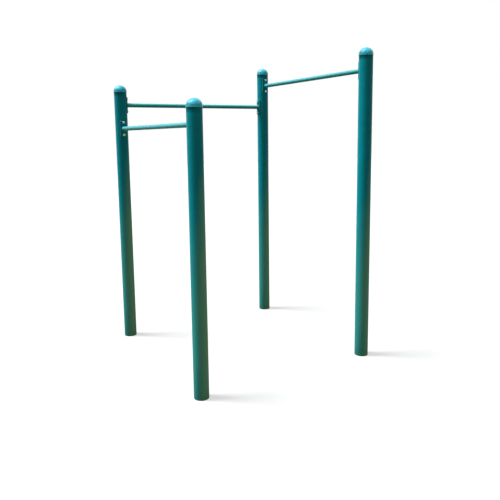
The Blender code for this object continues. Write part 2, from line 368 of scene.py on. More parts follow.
def smoothed(mesh):
    """Smooth the sides of a mesh and keep its corners sharp."""
    mesh.shade_smooth()
    mesh.set_sharp_from_angle(angle=SMOOTH_BELOW)
    return mesh


def finished_mesh(name, made, place=None):
    """Turn a bmesh into a mesh, in its place."""
    if place is not None:
        made.transform(place)
    mesh = bpy.data.meshes.new(name)
    made.to_mesh(mesh)
    made.free()
    return smoothed(mesh)


def keep(mesh, name, share):
    """Let a mesh keep a value at each of its points, for its finish to read."""
    values = mesh.attributes.new(name, "FLOAT", "POINT")
    for vertex, entry in zip(mesh.vertices, values.data):
        entry.value = share(vertex.co)


def show(name, mesh, finish, slot, *replaced):
    """Show a mesh as one piece of the station that stands for CAD nodes."""
    piece = into_scene(name, mesh)
    mesh.materials.append(finish)
    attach(piece, "root")
    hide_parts(*replaced)


def drilled(mesh, cutters):
    """Cut closed meshes out of a mesh with exact Booleans, and give the result back."""
    body = into_scene(mesh.name, mesh)
    tools = []
    for cutter in cutters:
        tool = into_scene("tool", cutter)
        cut = body.modifiers.new("cut", "BOOLEAN")
        cut.operation = "DIFFERENCE"
        cut.solver = "EXACT"
        cut.object = tool
        tools.append(tool)
    bpy.context.view_layer.update()
    cut_body = body.evaluated_get(bpy.context.evaluated_depsgraph_get())
    result = bpy.data.meshes.new_from_object(cut_body)
    for spent in (body, *tools):
        bpy.data.objects.remove(spent, do_unlink=True)
    cleaned = bmesh.new()
    cleaned.from_mesh(result)
    spare_points = [vertex for vertex in cleaned.verts if len(vertex.link_edges) == 2]
    bmesh.ops.dissolve_verts(cleaned, verts=spare_points)
    cleaned.to_mesh(result)
    cleaned.free()
    result.name = mesh.name
    return smoothed(result)


print("edges are sharp from", round(math.degrees(SMOOTH_BELOW)), "degrees")

# %% [markdown]
# ## Masks for teal paint that has stood outside
# The tubes and plates are powder coated. Powder coat has a fine orange peel, and years of
# sun, rain and use leave patches, streaks and specks on it. A painted picture could hold
# these marks, but it would blur close up and would need unwrapping. A noise read at the
# object's own points needs neither. So each mark starts as a noise, and a ramp turns it
# into a mask.

# %% Helpers for masks and colours
UP = (0, 0, 1)


def noise(wire, place, scale, detail, roughness=0.5):
    """A grey noise between 0 and 1."""
    sockets = {"Vector": place, "Scale": scale, "Detail": detail, "Roughness": roughness}
    return wire.node("TexNoise", sockets=sockets)


def streaky(wire, place, across, along, detail, roughness=0.5):
    """A noise with one scale across and another up, for marks that run down or round."""
    sockets = {"Vector": place, "Scale": (across, across, along)}
    return noise(wire, wire.node("Mapping", sockets=sockets), 1.0, detail, roughness)


def ramp(wire, value, *stops):
    """Values passed through the stops of a grey ramp."""
    return wire.node("ValToRGB", {"stops": stops}, {"Fac": value})


def blend(wire, share, first, second):
    """Two colours mixed by a share from 0 to 1."""
    sockets = {0: share, 6: first, 7: second}
    return wire.node("Mix", {"data_type": "RGBA"}, sockets, output=2)


def bump(wire, height, distance, strength, normal=None):
    """A normal that leans with a height."""
    sockets = {"Height": height, "Distance": distance, "Strength": strength}
    if normal is not None:
        sockets["Normal"] = normal
    return wire.node("Bump", sockets=sockets)


def towards(wire, direction):
    """How far the surface faces a fixed direction, from -1 to 1."""
    sockets = {0: wire.node("NewGeometry", output="Normal"), 1: direction}
    return wire.node("VectorMath", {"operation": "DOT_PRODUCT"}, sockets, output="Value")


def height_of(wire, place):
    """How high a place is above the ground."""
    return wire.node("SeparateXYZ", sockets={"Vector": place}, output=2)


def kept_value(wire, name):
    """A value that the mesh keeps at its points."""
    return wire.node("Attribute", {"attribute_name": name}, output="Fac")


def new_finish(name):
    """An empty material, with the wire that fills it."""
    material = bpy.data.materials.new(name)
    material.use_nodes = True
    material.node_tree.nodes.clear()
    return material, Wire(material.node_tree)


def close_finish(wire, colour, roughness, normal, constants):
    """Join the maps and the constants to the surface shader, and that to the output."""
    sockets = {"Base Color": colour, "Roughness": roughness, "Normal": normal, **constants}
    surface = wire.node("BsdfPrincipled", sockets=sockets)
    wire.node("OutputMaterial", sockets={"Surface": surface})


print("helpers ready, up is", UP)

# %% [markdown]
# ## Paint of the posts
# Sun and rain fade a post in soft patches and draw faint streaks down it. Dust and algae
# green its foot. On the side away from the sun the film reaches higher and is paler, partly
# dust and algae and partly painted light bounced up from the ground; above the film that
# side is painted darker, as painted shade. Shoes scuff it, rain splashes soil on it, and a
# painted shadow of the cap's lip darkens its top. A single colour with a gloss value would
# look like plastic, so each of these is a mask of its own, and the finish is their sum.

# %% Posts: patches, streaks, dust, scuffs, splashes and painted shade
DUST_LIT = 1.34                # height where the dust begins on the sunny side
DUST_DARK = 1.90               # and on the dark side
DUST_DEPTH = 0.8               # below that height, the film is full after so many metres
SCUFF_TOP = 1.5                # shoes and bags scuff the paint below this height
SPLASH_TOP = 0.09              # rain splashes soil this high
CAP_SHADE = 0.045              # metres under a cap that get a painted shadow of its lip
sun_turn = math.radians(SUN_AZIMUTH)
SHADE_SIDE = (-math.cos(sun_turn), -math.sin(sun_turn), 0)


def post_paint():
    """Faded teal powder coat, dust at the foot, painted light and shade, painted shadow under
    the cap.
    """
    material, wire = new_finish("post_paint")
    place = wire.node("TexCoord", output="Object")
    height = height_of(wire, place)
    below = kept_value(wire, "below_cap")
    patches = ramp(wire, noise(wire, place, 2.2, 4.0), (0.3, 0), (0.7, 1))
    blotches = ramp(wire, noise(wire, place, 11, 4.0, 0.6), (0.42, 0), (0.66, 1))
    streaks = ramp(wire, streaky(wire, place, 46, 1.1, 2.0), (0.45, 0), (0.8, 1))
    speckle = ramp(wire, noise(wire, place, 210, 2.0), (0.62, 0), (0.74, 1))
    scuffs = ramp(wire, streaky(wire, place, 95, 26, 5.0, 0.7), (0.66, 0), (0.71, 1))
    scuffs = scuffs * ((SCUFF_TOP - height) / SCUFF_TOP).clipped()
    splash = ramp(wire, noise(wire, place, 130, 4.0, 0.65), (0.48, 0), (0.56, 1))
    splash = splash * ((SPLASH_TOP - height) / SPLASH_TOP).clipped() ** 0.7
    shaded = (0.25 + 0.75 * towards(wire, SHADE_SIDE)).clipped()
    begin = DUST_LIT + (DUST_DARK - DUST_LIT) * shaded + 0.3 * (noise(wire, place, 5, 3.0) - 0.5)
    rise = ramp(wire, (begin - height) / DUST_DEPTH, (0.0, 0), (0.5, 0.55), (1.0, 1))
    # painted shadow of the cap's lip, made weaker on the side away from the sun
    shade = (1 - below / CAP_SHADE).clipped() ** 0.7 * (0.75 + 0.5 * noise(wire, place, 60, 3.0))
    shade = (shade * (1 - 0.7 * shaded)).clipped()
    colour = blend(wire, patches * 0.6, linear(3, 151, 167), linear(2, 139, 151))
    colour = blend(wire, blotches * 0.25, colour, linear(0, 118, 128))
    colour = blend(wire, streaks * 0.14, colour, linear(16, 154, 166))
    colour = blend(wire, rise * 0.88, colour, linear(60, 155, 147))
    # paler on the side away from the sun: dust and algae, and painted light bounced up from the
    # ground
    colour = blend(wire, shaded * rise * 0.9, colour, linear(132, 178, 135))
    # painted shade: above the dust, the side away from the sun is made darker
    colour = blend(wire, shaded * (1 - rise) * 0.4, colour, linear(0, 112, 122))
    colour = blend(wire, speckle * (0.06 + rise * 0.3), colour, linear(118, 128, 92))
    colour = blend(wire, scuffs * 0.3, colour, linear(110, 182, 180))
    colour = blend(wire, splash * 0.3, colour, linear(84, 92, 64))
    # the painted shadow of the cap's lip
    colour = blend(wire, shade * 0.95, colour, linear(0, 36, 42))
    peel = noise(wire, place, 520, 1.0)
    rough = 0.32 + patches * 0.06 + streaks * 0.08 + rise * 0.26 + shade * 0.2
    rough = rough + (scuffs + splash) * 0.12
    grit = bump(wire, speckle - 0.6 * scuffs + 0.8 * splash, 0.0004, 0.35)
    normal = bump(wire, peel, 0.00025, 0.5, grit)
    close_finish(wire, colour, rough, normal, {"Specular IOR Level": 0.08})
    return material


post_finish = post_paint()
print("post paint nodes:", len(post_finish.node_tree.nodes))

# %% [markdown]
# ## Paint of the bars
# The bars wear the same coat. It is paler along the top, partly bleached and partly a
# painted highlight; greener underneath, which is painted light bounced up from the ground;
# and rubbed pale in the middle, where hands hold it. A painted highlight lies on the upper
# front of the middle bar. The pale top band could follow the height of the points, but the
# three bars hang at three heights. The direction that the surface faces gives the same band
# on all of them.

# %% Bars: pale top with a painted highlight, painted ground light below
# faces turned this way get bleach and a painted highlight
BLEACH_AND_SHEEN_SIDE = (0, -0.22, 0.976)  # up, and leaning to the open side of the station
# faces turned this way get a painted highlight
HIGHLIGHT_SIDE = (0, -0.72, 0.69)     # the upper front, which only the middle bar turns this way


def bar_paint():
    """The same coat: bleach and painted highlight, painted ground light, polished where held."""
    material, wire = new_finish("bar_paint")
    place = wire.node("TexCoord", output="Object")
    facing = towards(wire, UP)
    bleach_and_sheen = ramp(wire, towards(wire, BLEACH_AND_SHEEN_SIDE) + 0.2, (0.04, 0), (0.34, 1))
    painted_highlight = ramp(wire, towards(wire, HIGHLIGHT_SIDE), (0.72, 0), (0.88, 1))
    grip = kept_value(wire, "grip")
    patches = ramp(wire, noise(wire, place, 6, 4.0), (0.3, 0), (0.7, 1))
    rubbed = ramp(wire, noise(wire, place, 34, 5.0, 0.6), (0.48, 0), (0.66, 1)) * grip
    # the underside, for painted ground light and a rougher coat
    underside_bounce = ((0 - facing - 0.1) / 0.7).clipped()
    colour = blend(wire, patches * 0.5, linear(2, 144, 154), linear(2, 132, 142))
    # pale top: partly bleach, partly painted highlight
    colour = blend(wire, bleach_and_sheen * (0.74 + 0.2 * patches), colour, linear(102, 186, 198))
    # painted highlight on the upper front
    colour = blend(wire, painted_highlight * (0.7 + 0.2 * patches), colour, linear(92, 224, 222))
    # painted green light bounced up from the ground onto the underside
    colour = blend(wire, underside_bounce * 0.8, colour, linear(64, 160, 122))
    colour = blend(wire, rubbed * 0.16, colour, linear(150, 205, 208))
    peel = noise(wire, place, 520, 1.0)
    rough = 0.40 + patches * 0.06 - rubbed * 0.10 + underside_bounce * 0.2
    normal = bump(wire, peel, 0.00025, 0.4)
    close_finish(wire, colour, rough, normal, {"Specular IOR Level": 0.10})
    return material


bar_finish = bar_paint()
print("bar paint nodes:", len(bar_finish.node_tree.nodes))

# %% [markdown]
# ## Paint of the plates and the welds
# The same coat covers the cut plates and the welds. It wears thin along the edges, is
# paler where it faces up, partly bleached and partly a painted highlight, and below a bar
# the rain that runs off it leaves a green film, most on the lower plates. A node can find
# sharp edges by itself, but only on a dense mesh. So the plate's mesh keeps how near each
# point is to the edge and how wet it gets below the bar, and noises fray both.

# %% Plates: worn edges, grime, the film below a bar, and a painted highlight on top
FILM_TOP = 2.35                # height where the film begins
FILM_DEPTH = 0.35              # below that height, it is full after so many metres


def plate_paint():
    """The same coat, worn at the edges, with a green film below the bar."""
    material, wire = new_finish("plate_paint")
    place = wire.node("TexCoord", output="Object")
    height = height_of(wire, place)
    edge = kept_value(wire, "edge")
    wet = kept_value(wire, "wet")
    patches = ramp(wire, noise(wire, place, 14, 4.0), (0.3, 0), (0.7, 1))
    ragged = noise(wire, place, 130, 5.0, 0.65)
    worn = ramp(wire, edge * 0.4 + ragged * 0.7, (0.74, 0), (0.84, 1))
    grime = ramp(wire, noise(wire, place, 48, 4.0), (0.5, 0), (0.75, 1))
    runs = ramp(wire, streaky(wire, place, 120, 16, 4.0), (0.3, 0.4), (0.6, 1))
    film = wet * runs * ((FILM_TOP - height) / FILM_DEPTH).clipped()
    # faces that look up: partly bleach, partly painted highlight
    bleach_and_sheen = ramp(wire, towards(wire, UP), (0.3, 0), (0.75, 1))
    colour = blend(wire, patches * 0.6, linear(3, 130, 143), linear(2, 117, 128))
    colour = blend(wire, grime * 0.3, colour, linear(6, 84, 86))
    colour = blend(wire, film * 0.6, colour, linear(72, 134, 96))
    colour = blend(wire, bleach_and_sheen * 0.6, colour, linear(102, 186, 198))
    colour = blend(wire, worn * 0.3, colour, linear(96, 164, 168))
    rough = 0.33 + patches * 0.06 + grime * 0.2 + worn * 0.1 + film * 0.15
    chipped = bump(wire, 1 - worn, 0.0002, 0.6)
    normal = bump(wire, noise(wire, place, 480, 1.0), 0.00025, 0.5, chipped)
    close_finish(wire, colour, rough, normal, {"Specular IOR Level": 0.12})
    return material


plate_finish = plate_paint()
print("plate paint nodes:", len(plate_finish.node_tree.nodes))

# %% [markdown]
# ## Glossy plastic for the caps
# The caps are moulded plastic, pushed into the tops of the posts. They shine more than
# the paint and are a little bluer. The side away from the sun is painted paler, as painted
# light. A broken dark band above the rim is a painted reflection of dark surroundings, and
# the crown is partly bleached and partly given a painted sheen. One even colour would look
# new, so a mask of its own sets each of these marks, and small flecks of darker blue lie
# between them.

# %% Plastic of the caps
def cap_plastic():
    """Glossy teal plastic: painted light and reflection, crown sheen, flecks, specks and
    scratches.
    """
    material, wire = new_finish("cap_plastic")
    place = wire.node("TexCoord", output="Object")
    facing = towards(wire, UP)
    mottle = ramp(wire, noise(wire, place, 74, 4.0, 0.6), (0.40, 0), (0.57, 1))
    # the crown: partly bleach, partly painted sheen
    crown_bleach_and_sheen = ramp(wire, facing, (0.3, 0), (0.7, 0.6), (0.95, 1)) * (0.4 + 0.6 * mottle)
    ragged = ramp(wire, streaky(wire, place, 80, 130, 4.0, 0.6), (0.49, 0), (0.57, 1))
    # a painted reflection of dark surroundings: a broken band above the rim
    dark_reflection_band = ramp(wire, facing, (0.08, 0), (0.16, 1), (0.28, 1), (0.50, 0)) * ragged
    patches = ramp(wire, noise(wire, place, 18, 4.0), (0.3, 0), (0.7, 1))
    scratch = ramp(wire, streaky(wire, place, 900, 60, 2.0), (0.66, 0), (0.72, 1))
    specks = ramp(wire, noise(wire, place, 260, 2.0), (0.66, 0), (0.74, 1))
    shaded = (0.8 + 1.0 * towards(wire, SHADE_SIDE)).clipped()
    colour = blend(wire, patches * 0.4, linear(48, 176, 194), linear(32, 164, 186))
    # painted light: the side away from the sun is made paler
    colour = blend(wire, shaded, colour, linear(66, 224, 250))
    colour = blend(wire, (1 - mottle) * 0.45, colour, linear(6, 132, 164))
    # crown: bleach and painted sheen
    colour = blend(wire, crown_bleach_and_sheen * 0.5, colour, linear(108, 176, 184))
    # the painted dark reflection
    colour = blend(wire, dark_reflection_band * 0.85, colour, linear(0, 88, 120))
    colour = blend(wire, specks * 0.25, colour, linear(150, 170, 150))
    rough = 0.34 + patches * 0.05 + crown_bleach_and_sheen * 0.08 + scratch * 0.12 + specks * 0.2
    fine = bump(wire, 1 - scratch, 0.00008, 0.4)
    normal = bump(wire, noise(wire, place, 300, 1.0), 0.0001, 0.3, fine)
    gloss = {"Specular IOR Level": 0.3, "Coat Weight": 0.04, "Coat Roughness": 0.12}
    close_finish(wire, colour, rough, normal, gloss)
    return material


cap_finish = cap_plastic()
print("cap plastic nodes:", len(cap_finish.node_tree.nodes))

# %% [markdown]
# ## Zinc on the bolts, washers and inserts
# The small steel parts are zinc plated. Zinc is a pale metal with a crystal mottle, and
# where water stands it dulls and stains. Faces that look down are painted darker, as
# painted shade, and the socket is painted nearly black, partly dirt and partly painted
# shade. One recipe makes all three, with its own colour and stain for each.

# %% Plated steel
def plated_steel(name, pale, dull, stain):
    """Zinc plate: pale, dulled and stained in patches, painted shade below, a dark recess."""
    material, wire = new_finish(name)
    place = wire.node("TexCoord", output="Object")
    recess = kept_value(wire, "recess")
    facing = towards(wire, UP)
    mottle = ramp(wire, noise(wire, place, 190, 4.0, 0.6), (0.35, 0), (0.65, 1))
    stained = ramp(wire, noise(wire, place, 55, 4.0), (0.56, 0), (0.74, 1))
    turning = streaky(wire, place, 700, 2600, 1.0)
    colour = blend(wire, mottle, pale, dull)
    colour = blend(wire, stained * 0.5, colour, stain)
    # painted shade: faces that look down are darkened towards the stain colour
    colour = blend(wire, ((0.12 - facing) * 0.8).clipped(), colour, stain)
    # the socket: dirt and painted shade
    colour = blend(wire, recess * 0.9, colour, linear(14, 44, 46))
    rough = 0.26 + mottle * 0.16 + stained * 0.25 + recess * 0.3
    scored = bump(wire, turning, 0.00004, 0.5)
    normal = bump(wire, mottle, 0.00005, 0.3, scored)
    close_finish(wire, colour, rough, normal, {"Metallic": 1.0})
    return material


STEELS = {                     # pale, dull and stained colours
    "bolt_steel": ((172, 226, 232), (122, 182, 192), (54, 104, 108)),
    "washer_steel": ((72, 116, 120), (48, 92, 96), (34, 66, 64)),
    "insert_steel": ((196, 190, 168), (164, 158, 136), (118, 96, 70)),
}
steels = {}
for name, colours in STEELS.items():
    steels[name] = plated_steel(name, *(linear(*colour) for colour in colours))
print("steel finishes:", ", ".join(steels))

# %% [markdown]
# ## The posts
# Each post is a round tube, open at both ends and set plumb. It could be a plain
# cylinder, but a real tube has a wall, softened edges, and two drilled holes for each
# bar that it carries, where the inserts sit. So the wall section is turned about the
# axis, and the holes are cut out of it. The mesh keeps how far each point lies below
# the cap, which the paint uses for a painted shadow of the cap's lip there.

# %% Tubes with their holes
EDGE_ROUND = 0.0006            # radius of a softened tube edge
HOLE_BAND = 0.020              # half height of the band of faces around a hole
LEVEL_STEP = 0.3               # height between two rings of points
TOP_RINGS = (0.02, 0.06)       # two more, below the top, where the paint darkens


def drill(bar, post, side):
    """A rod where an insert goes through the wall of its post."""
    section = [(0, 0), (INSERT_HOLE, 0), (INSERT_HOLE, PLATE_OUTER), (0, PLATE_OUTER)]
    place = joints[bar, post] @ Matrix.Translation((0, 0, side * bolt_rise)) @ TO_X
    return finished_mesh("drill", turned(section, SMALL_ROUND), place)


def post_levels(top, heights):
    """Heights at which the outside of a post has a ring of points."""
    levels = {LEVEL_STEP * i for i in range(1, int(top / LEVEL_STEP))}
    levels |= {top - drop for drop in TOP_RINGS}
    for height in heights:
        for hole in (height - bolt_rise, height + bolt_rise):
            levels |= {hole - HOLE_BAND, hole + HOLE_BAND}
    return sorted(level for level in levels if EDGE_ROUND < level < top - EDGE_ROUND)


for post in POSTS:
    low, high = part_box("post_" + post)
    middle = (low + high) / 2
    own = [bar for bar, ends in BARS.items() if post in ends]
    levels = post_levels(high.z, [centre_of("bar_" + bar).z for bar in own])
    section = rounding(POST_RADIUS, EDGE_ROUND, EDGE_ROUND, -90, 0)
    section += [(POST_RADIUS, level) for level in levels]
    section += rounding(POST_RADIUS, high.z - EDGE_ROUND, EDGE_ROUND, 0, 90)
    section += [(POST_BORE, level) for level in (high.z, *reversed(levels), 0)]
    name = "post_" + post + "_tube"
    place = Matrix.Translation((middle.x, middle.y, 0))
    tube = finished_mesh(name, turned(section, ROUND, closed=True), place)
    holes = [drill(bar, post, side) for bar in own for side in (-1, 1)]
    tube = drilled(tube, holes)
    keep(tube, "below_cap", lambda point: high.z - point.z)
    show(name, tube, post_finish, "post_paint", "post_" + post)
    print(name, "top", round(high.z, 4), "holes", len(holes), "faces", len(tube.polygons))

# %% [markdown]
# ## The caps
# A cap is a half ball with a short lip that laps over the tube, and a spigot that goes
# down the bore. A sphere cut in half would give the dome, but not the lip or its soft
# edge. The whole section, inside and out, is drawn once and turned.

# %% One turned section, set on four posts
LIP_DROP = 0.0055
LIP_SOFT = 0.0009              # radius of the lip's lower edge
SPIGOT_LENGTH = 0.040
SPIGOT_WALL = 0.003
CROWN_WALL = 0.004
SEAT_GAP = 0.0003
DOME_STEPS, HOLLOW_STEPS = 28, 12

spigot_radius = POST_BORE - SEAT_GAP
hollow_radius = spigot_radius - SPIGOT_WALL
cap_section = arc((0, SEAT_GAP), (CAP_RADIUS, CAP_HEIGHT), 90, 0, DOME_STEPS)
cap_section += [(CAP_RADIUS, -LIP_DROP / 2)]
cap_section += rounding(CAP_RADIUS, LIP_SOFT - LIP_DROP, LIP_SOFT, 0, -90, 4)
cap_section += [
    (PLATE_INNER, -LIP_DROP),
    (PLATE_INNER, SEAT_GAP),
    (spigot_radius, SEAT_GAP),
    (spigot_radius, LIP_SOFT - SPIGOT_LENGTH),
    (spigot_radius - LIP_SOFT, -SPIGOT_LENGTH),
    (hollow_radius, -SPIGOT_LENGTH),
]
hollow_radii = (hollow_radius, CAP_HEIGHT - CROWN_WALL)
cap_section += arc((0, SEAT_GAP), hollow_radii, 0, 90, HOLLOW_STEPS)
for post in POSTS:
    low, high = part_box("post_" + post)
    place = Matrix.Translation(((low.x + high.x) / 2, (low.y + high.y) / 2, high.z))
    dome = finished_mesh("cap_" + post + "_dome", turned(cap_section, ROUND), place)
    show(dome.name, dome, cap_finish, "cap_plastic", "cap_" + post)

# %% [markdown]
# ## The bars
# Each bar is a tube whose ends are cut to the curve of the plates, so that the weld runs
# round a tight line. A Boolean could cut the ends. It is cleaner to place every point of
# the end ring on the plate's curved face, and then to step along the bar in plain rings.
# Hands polish the middle of a bar, so each mesh keeps how much it is gripped.

# %% Tubes with coped ends
BAR_ROUND = 64
BAR_STEP = 0.05                # along the bar between two rings
CLEAR_END = 0.075              # from the post's axis to the first plain ring
END_GAP = 0.00005              # between the bar's end and the plate, inside the weld
GRIP_END = 0.8                 # how far out along half the bar hands reach
GRIP_FADE = 0.5                # and over how much of it the polish fades


def on_curve(radius, across):
    """How far out an upright curve of this radius is, at a distance across it."""
    return math.sqrt(radius ** 2 - across ** 2)


def coped_ring(radius, flip):
    """A ring on the plate's curved face, seen from one end of the bar or from the other."""
    ring = []
    for i in range(BAR_ROUND):
        angle = 2 * math.pi * i / BAR_ROUND
        across, up = radius * math.cos(angle), radius * math.sin(angle)
        out = on_curve(PLATE_OUTER, across) + END_GAP
        ring.append((span - out if flip else out, across, up))
    return ring


def plain_ring(radius, along):
    """A straight ring at a distance along the bar."""
    angles = [2 * math.pi * i / BAR_ROUND for i in range(BAR_ROUND)]
    return [(along, radius * math.cos(a), radius * math.sin(a)) for a in angles]


def grip_share(point):
    """1 in the middle of a bar, falling to 0 towards its ends."""
    along = abs(point.x - span / 2) / (span / 2)
    return max(0.0, min(1.0, (GRIP_END - along) / GRIP_FADE))


for bar, (start, end) in BARS.items():
    count = round((span - 2 * CLEAR_END) / BAR_STEP)
    stops = [CLEAR_END + (span - 2 * CLEAR_END) * i / count for i in range(count + 1)]
    rings = [coped_ring(BAR_RADIUS, False)] + [plain_ring(BAR_RADIUS, stop) for stop in stops]
    rings += [coped_ring(BAR_RADIUS, True), coped_ring(BAR_BORE, True)]
    rings += [plain_ring(BAR_BORE, stop) for stop in reversed(stops)]
    rings.append(coped_ring(BAR_BORE, False))
    rail = finished_mesh("bar_" + bar + "_rail", skin(rings, closed=True))
    keep(rail, "grip", grip_share)
    rail.transform(joints[bar, start])
    show(rail.name, rail, bar_finish, "bar_paint", "bar_" + bar)
    print("bar", bar, "rings", len(rings), "height", round(centre_of("bar_" + bar).z, 4))

# %% [markdown]
# ## The saddle plates
# A saddle is a rounded plate, rolled to the curve of the post, with a bolt above and
# below the bar. It could be a flat plate bent by a modifier, but then its straight cut
# edges would spread. Here the outline is drawn flat, each ring of it is laid on the
# inner or outer curve, and the last step to the outer curve is rounded, as a worn edge
# is. The spot faces under the washers are cut last.

# %% The outline of a plate
PLATE_CORNER = 0.014
LEAST_CORNER = 0.0008          # of an outline drawn far in
SHORT_STEPS, LONG_STEPS, CORNER_STEPS = 14, 20, 8
plate_low, plate_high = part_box("saddle_middle_rear_left")
PLATE_WIDTH = plate_high.y - plate_low.y
PLATE_HEIGHT = plate_high.z - plate_low.z


def between(first, last, steps):
    """Points on a straight line, without its two ends."""
    run, rise = last[0] - first[0], last[1] - first[1]
    return [(first[0] + run * i / steps, first[1] + rise * i / steps) for i in range(1, steps)]


def outline(inset):
    """A rounded rectangle, drawn in from the plate's edge, always with as many points."""
    half_width, half_height = PLATE_WIDTH / 2 - inset, PLATE_HEIGHT / 2 - inset
    corner = max(PLATE_CORNER - inset, LEAST_CORNER)
    quarters = []
    for quarter, (side, up) in enumerate(((1, 1), (-1, 1), (-1, -1), (1, -1))):
        centre = (side * (half_width - corner), up * (half_height - corner))
        start = 90 * quarter
        quarters.append(arc(centre, (corner, corner), start, start + 90, CORNER_STEPS))
    points = []
    for quarter, steps in enumerate((SHORT_STEPS, LONG_STEPS, SHORT_STEPS, LONG_STEPS)):
        following = quarters[(quarter + 1) % 4]
        points += quarters[quarter] + between(quarters[quarter][-1], following[0], steps)
    return points


print("plate", round(PLATE_WIDTH, 4), "by", round(PLATE_HEIGHT, 4), "points", len(outline(0)))

# %% The skin of a plate
PLATE_EDGE = 0.0012            # radius of the plate's outer edge
BACK_EDGE = 0.0004             # the small bevel round its back
FACE_START = 0.003             # from the edge to the first ring on the face
FACE_STEPS = 10
LADDER_HALF = 0.002            # half width of the last strip down the middle of the plate


def laid(points, radius):
    """Points of a flat outline, laid on an upright curve of this radius."""
    return [(on_curve(radius, across), across, up) for across, up in points]


def plate_rings():
    """The skin of a plate: its back, its edge, the rounded rim, and its face."""
    reach = PLATE_WIDTH / 2 - LADDER_HALF - FACE_START
    insets = [FACE_START + reach * i / FACE_STEPS for i in range(FACE_STEPS + 1)]
    rings = [laid(outline(inset), PLATE_INNER) for inset in [*reversed(insets), BACK_EDGE]]
    rings.append(laid(outline(0), PLATE_INNER + BACK_EDGE))
    for drop, rise in arc((0, 0), (PLATE_EDGE, PLATE_EDGE), 0, 90, 5):
        rings.append(laid(outline(PLATE_EDGE - drop), PLATE_OUTER - PLATE_EDGE + rise))
    return rings + [laid(outline(inset), PLATE_OUTER) for inset in insets]


def ladder():
    """Faces that close the innermost ring: an end piece above and below, and rungs between."""
    short_way = 2 * CORNER_STEPS + SHORT_STEPS
    half_way = short_way + LONG_STEPS
    whole = 2 * half_way
    pieces = [range(short_way + 1), range(half_way, half_way + short_way + 1)]
    for k in range(LONG_STEPS):
        pieces.append((-k % whole, short_way + k, short_way + k + 1, whole - k - 1))
    return pieces


plate_mesh = finished_mesh("saddle_plate", skin(plate_rings(), lids=ladder()))
print("plate before its holes:", len(plate_mesh.polygons), "faces")

# %% Bolt holes, spot faces, and what the paint reads
CUTTER_END = 0.08              # well outside the plate
HOLE_TURN, SPOT_TURN = 2, 5    # degrees, so that no edge of a cutter meets another edge
WORN_STRIP = 0.004             # width of the strip along the edge where paint wears
DRY_SIDES = 0.7                # how much drier the plate is at its sides than below the bar


def cutter(radius, start, turn, side):
    """A rod that cuts outwards from a distance, above or below the bar."""
    section = [(0, start), (radius, start), (radius, CUTTER_END), (0, CUTTER_END)]
    spin = Matrix.Rotation(math.radians(turn), 4, "Z")
    place = Matrix.Translation((0, 0, side * bolt_rise)) @ TO_X @ spin
    return finished_mesh("cutter", turned(section, SMALL_ROUND), place)


def edge_share(point):
    """1 on the edge of the plate, and 0 further in than the worn strip."""
    to_edge = min(PLATE_WIDTH / 2 - abs(point.y), PLATE_HEIGHT / 2 - abs(point.z))
    return max(0.0, 1 - to_edge / WORN_STRIP)


def wet_share(point):
    """1 below the bar, and less towards the sides and in the bar's own height."""
    beside = max(0.0, abs(point.y) - BAR_RADIUS) / (PLATE_WIDTH / 2 - BAR_RADIUS)
    below = min(1.0, max(0.0, -point.z / BAR_RADIUS))
    return below * (1 - DRY_SIDES * beside)


cutters = []
for side in (-1, 1):
    cutters.append(cutter(HOLE_RADIUS, 0, HOLE_TURN, side))
    cutters.append(cutter(SPOT_RADIUS, SPOT_FACE, SPOT_TURN, side))
plate = drilled(plate_mesh, cutters)
keep(plate, "edge", edge_share)
keep(plate, "wet", wet_share)
print("plate with its holes:", len(plate.polygons), "faces")

# %% [markdown]
# ## The weld beads
# Where a bar meets its plate, a welder has run one bead round it. A torus would be too
# even: a real bead is a row of frozen ripples, swells a little and wanders. The section
# is a bulging quarter round with its feet on the plate and on the bar. It is repeated
# round the bar, and each section is a bit larger or smaller than the last.

# %% A rippled bead
BEAD_STEPS = 192
BEAD_LEG = 0.0045
RIPPLES = 44
SECTION_STEPS = 8
SINK = 0.0004                  # how far the bead's root lies inside the metal
LEG_PLAIN, LEG_RIPPLE, LEG_SWELL = 0.86, 0.075, 0.035  # shares of the full leg
SEED_STEP = 1.7                # from one bead to the next, so that no two wander alike


def wave(turn, times, shift):
    """A sine that runs a whole number of times round the bar."""
    return math.sin(turn * 2 * math.pi * times + shift)


def bead_size(turn, seed):
    """The leg of the bead at a place round the bar, from 0 to 1."""
    ripple = 1 - (turn * RIPPLES + 0.35 * wave(turn, 5, seed)) % 1.0
    swell = wave(turn, 3, seed) + 0.6 * wave(turn, 7, 2 * seed)
    return BEAD_LEG * (LEG_PLAIN + LEG_RIPPLE * ripple + LEG_SWELL * swell)


def bead_rings(seed):
    """Sections of the bead, one after the other round the bar."""
    rings = []
    for i in range(BEAD_STEPS):
        turn = i / BEAD_STEPS
        angle = 2 * math.pi * turn
        leg = bead_size(turn, seed)
        section = arc((0, 0), (leg, leg), 0, 90, SECTION_STEPS)
        section += [(-SINK, leg), (-SINK, -SINK), (leg, -SINK)]
        ring = []
        for off, out in section:
            reach = BAR_RADIUS + off
            across = reach * math.cos(angle)
            ring.append((on_curve(PLATE_OUTER, across) + out, across, reach * math.sin(angle)))
        rings.append(ring)
    return rings


for number, ((bar, post), place) in enumerate(joints.items()):
    joint = bar + "_" + post
    own_plate = plate.copy()
    own_plate.name = "saddle_" + joint + "_plate"
    own_plate.transform(place)
    show(own_plate.name, own_plate, plate_finish, "saddle_paint", "saddle_" + joint)
    rings = bead_rings(number * SEED_STEP)
    bead = finished_mesh("saddle_" + joint + "_weld", skin(rings, closed=True), place)
    show(bead.name, bead, plate_finish, "saddle_paint", "saddle_" + joint)
bpy.data.meshes.remove(plate)
print("saddles:", len(joints), "each with", RIPPLES, "ripples in its weld")

